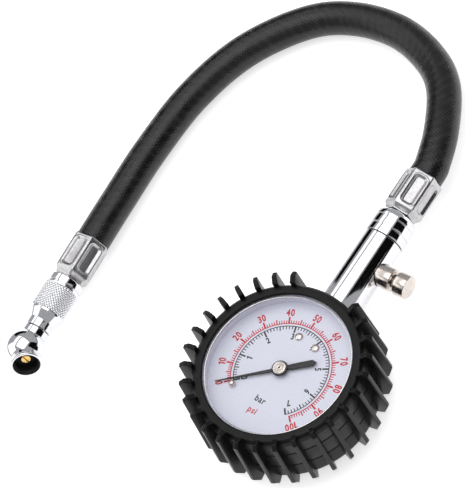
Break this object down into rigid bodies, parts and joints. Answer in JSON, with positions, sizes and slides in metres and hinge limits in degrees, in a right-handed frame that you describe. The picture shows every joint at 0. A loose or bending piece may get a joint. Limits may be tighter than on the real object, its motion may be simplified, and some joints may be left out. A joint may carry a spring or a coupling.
{
  "type": "tyre pressure gauge",
  "caption": "Hand tyre pressure gauge: dial in a finned rubber boot, chromed stem with a bleed button, hose with crimped ferrules and a ball chuck on a knurled swivel.",
  "frame": {"origin": "middle of the boot's flat back, which lies on the table", "axes": "+Z out of the dial, +Y from the dial along the stem, +X towards the bleed button"},
  "size_m": [0.1396, 0.1768, 0.0284],
  "materials": {
    "black_rubber": "matte moulded",
    "hose_rubber": "satin extruded",
    "chrome_plate": "polished",
    "nickel_plate": "satin nickel",
    "aluminium": "satin",
    "steel": "plain",
    "brass": "machined",
    "white_enamel": "semi-gloss white",
    "black_enamel": "semi-gloss black",
    "clear_lens": "clear polished"
  },
  "bodies": {
    "gauge_body": {"rubber_boot": "black_rubber", "case": "steel", "dial_plate": "white_enamel", "dial_spacer": "white_enamel", "lens": "clear_lens", "bezel_ring": "chrome_plate", "dial_screw_1": "nickel_plate", "dial_screw_2": "nickel_plate", "stop_pin": "nickel_plate", "gauge_socket": "brass", "bourdon_tube": "brass", "tube_end_cap": "brass", "movement_plate_bottom": "brass", "movement_plate_top": "brass", "plate_pillar_1": "brass", "plate_pillar_2": "brass", "plate_pillar_3": "brass", "plate_pillar_4": "brass", "hairspring": "steel", "stem_body": "chrome_plate", "stem_seal": "black_rubber", "stem_end_cap": "chrome_plate", "check_valve_body": "brass", "check_valve_spring": "steel", "bleed_body": "nickel_plate", "bleed_spring": "steel", "hose_ferrule_gauge": "aluminium", "hose_barb_gauge": "brass", "hose": "hose_rubber", "hose_barb_chuck": "brass", "hose_ferrule_chuck": "aluminium", "swivel_clip": "steel"},
    "sector": {"sector_gear": "brass"},
    "link_bar": {"link": "steel"},
    "pointer": {"pinion_arbor": "steel", "needle": "black_enamel", "needle_hub": "black_enamel", "hub_cap": "nickel_plate"},
    "bleed_plunger": {"bleed_button": "nickel_plate", "bleed_seal": "black_rubber"},
    "check_pin": {"check_valve_pin": "brass"},
    "chuck": {"knurled_sleeve": "chrome_plate", "chuck_head": "chrome_plate", "chuck_seal": "black_rubber", "chuck_depressor": "brass", "swivel_seal": "black_rubber"}
  },
  "joints": [
    {"name": "sector_swing", "type": "hinge", "parent": "gauge_body", "child": "sector", "pos_m": [-0.00987, -0.00359, 0.0084], "axis": [0, 0, 1], "range_deg": [0, 44], "stiffness_Nm_per_rad": 0.0005},
    {"name": "needle_turn", "type": "hinge", "parent": "gauge_body", "child": "pointer", "pos_m": [0, 0, 0.02], "axis": [0, 0, -1], "range_deg": [0, 264]},
    {"name": "link_swing", "type": "hinge", "parent": "sector", "child": "link_bar", "pos_m": [-0.01407, -0.00359, 0.0098], "axis": [0, 0, 1], "range_deg": [-44.5, 0]},
    {"name": "bleed_press", "type": "slide", "parent": "gauge_body", "child": "bleed_plunger", "axis": [-1, 0, 0], "range_m": [0, 0.0014], "stiffness_N_per_m": 600, "deforming": ["bleed_spring"]},
    {"name": "check_open", "type": "slide", "parent": "gauge_body", "child": "check_pin", "axis": [0, -1, 0], "range_m": [0, 0.0008], "stiffness_N_per_m": 100, "deforming": ["check_valve_spring"]},
    {"name": "chuck_swivel", "type": "hinge", "parent": "gauge_body", "child": "chuck", "pos_m": [-0.0973, 0.01525, 0.0072], "axis": [0.0576, -0.9983, 0], "continuous": true}
  ],
  "couplings": [
    {"joint": "needle_turn", "follows": "sector_swing", "ratio": 6},
    {"joint": "link_swing", "follows": "sector_swing", "ratio": -1}
  ]
}
